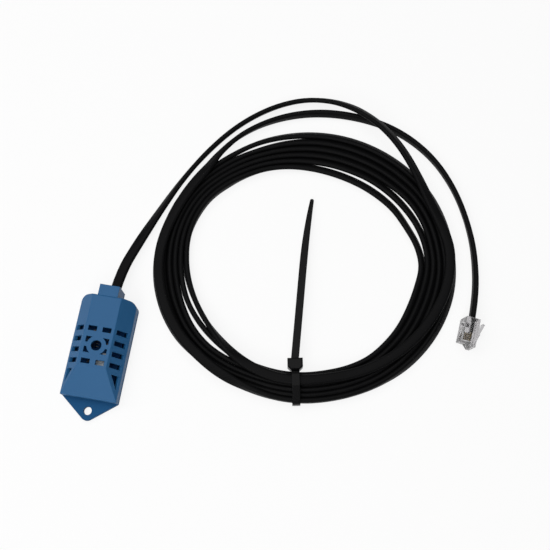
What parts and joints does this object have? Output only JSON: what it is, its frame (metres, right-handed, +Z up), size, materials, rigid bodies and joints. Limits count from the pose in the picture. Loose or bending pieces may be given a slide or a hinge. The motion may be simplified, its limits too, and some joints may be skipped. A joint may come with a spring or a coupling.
{
  "type": "humidity sensor",
  "caption": "Vented humidity sensor housing with a screw tab, on a flat cord that lies coiled in a cable tie and ends in a clear modular plug.",
  "frame": {"origin": "on the floor under the middle of the housing, tab and neck included; the coiled cord lies beside it", "axes": "+Y from the screw tab towards the cord neck, along the housing's length; +Z up out of the grille; +X to the side where the coil lies"},
  "size_m": [0.1865, 0.1779, 0.014],
  "materials": {
    "housing_plastic": "satin",
    "cover_plastic": "satin",
    "board_laminate": "satin",
    "element_case": "matte",
    "tinned_leads": "satin",
    "chip_epoxy": "matte",
    "resistor_body": "matte",
    "capacitor_body": "matte",
    "solder": "satin",
    "wire_black": "satin",
    "wire_red": "satin",
    "wire_green": "satin",
    "wire_yellow": "satin",
    "clear_plug": "gloss",
    "gold_contacts": "gloss",
    "tie_nylon": "satin",
    "cord_jacket": "satin"
  },
  "bodies": {
    "root": {"front_shell": "housing_plastic", "back_cover": "cover_plastic", "circuit_board": "board_laminate", "humidity_element": "element_case", "humidity_leads": "tinned_leads", "signal_chip": "chip_epoxy", "signal_chip_leads": "tinned_leads", "chip_resistors": "resistor_body", "chip_capacitors": "capacitor_body", "solder_joints": "solder", "sensor_wire_black": "wire_black", "sensor_wire_red": "wire_red", "sensor_wire_green": "wire_green", "sensor_wire_yellow": "wire_yellow", "plug_body": "clear_plug", "plug_contacts": "gold_contacts", "plug_wire_black": "wire_black", "plug_wire_red": "wire_red", "plug_wire_green": "wire_green", "plug_wire_yellow": "wire_yellow", "cable_tie": "tie_nylon", "cord_coil": "cord_jacket", "cord_lead_sensor": "cord_jacket", "cord_lead_plug": "cord_jacket"}
  },
  "joints": []
}
